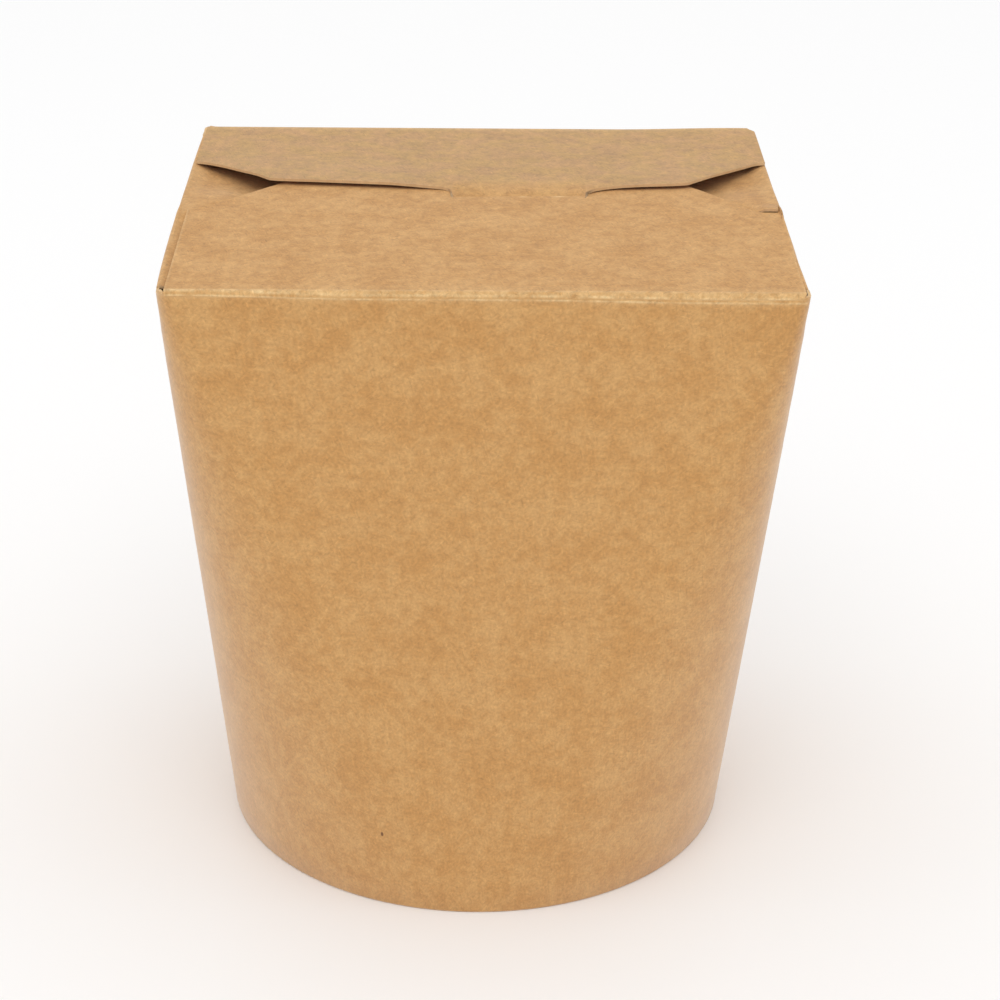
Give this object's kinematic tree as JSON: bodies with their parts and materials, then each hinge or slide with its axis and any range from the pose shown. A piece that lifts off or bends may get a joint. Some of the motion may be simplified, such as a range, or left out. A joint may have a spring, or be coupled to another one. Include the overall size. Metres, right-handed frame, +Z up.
{
  "type": "noodle takeaway box",
  "caption": "Shut kraft-board noodle box: an interlocked flap top on a rectangular mouth, over a wall that tapers to a round foot.",
  "frame": {"origin": "on the ground, under the middle of the box", "axes": "+Z up, -Y towards the front wall, whose flap lies under the back one, +X to the right seen from the front"},
  "size_m": [0.099, 0.0868, 0.1105],
  "materials": {
    "kraft_board": "matt uncoated kraft board with soft mottling and short fibres",
    "base_board": "matt uncoated kraft board"
  },
  "bodies": {
    "root": {"carton": "kraft_board", "base_disc": "base_board"}
  },
  "joints": []
}
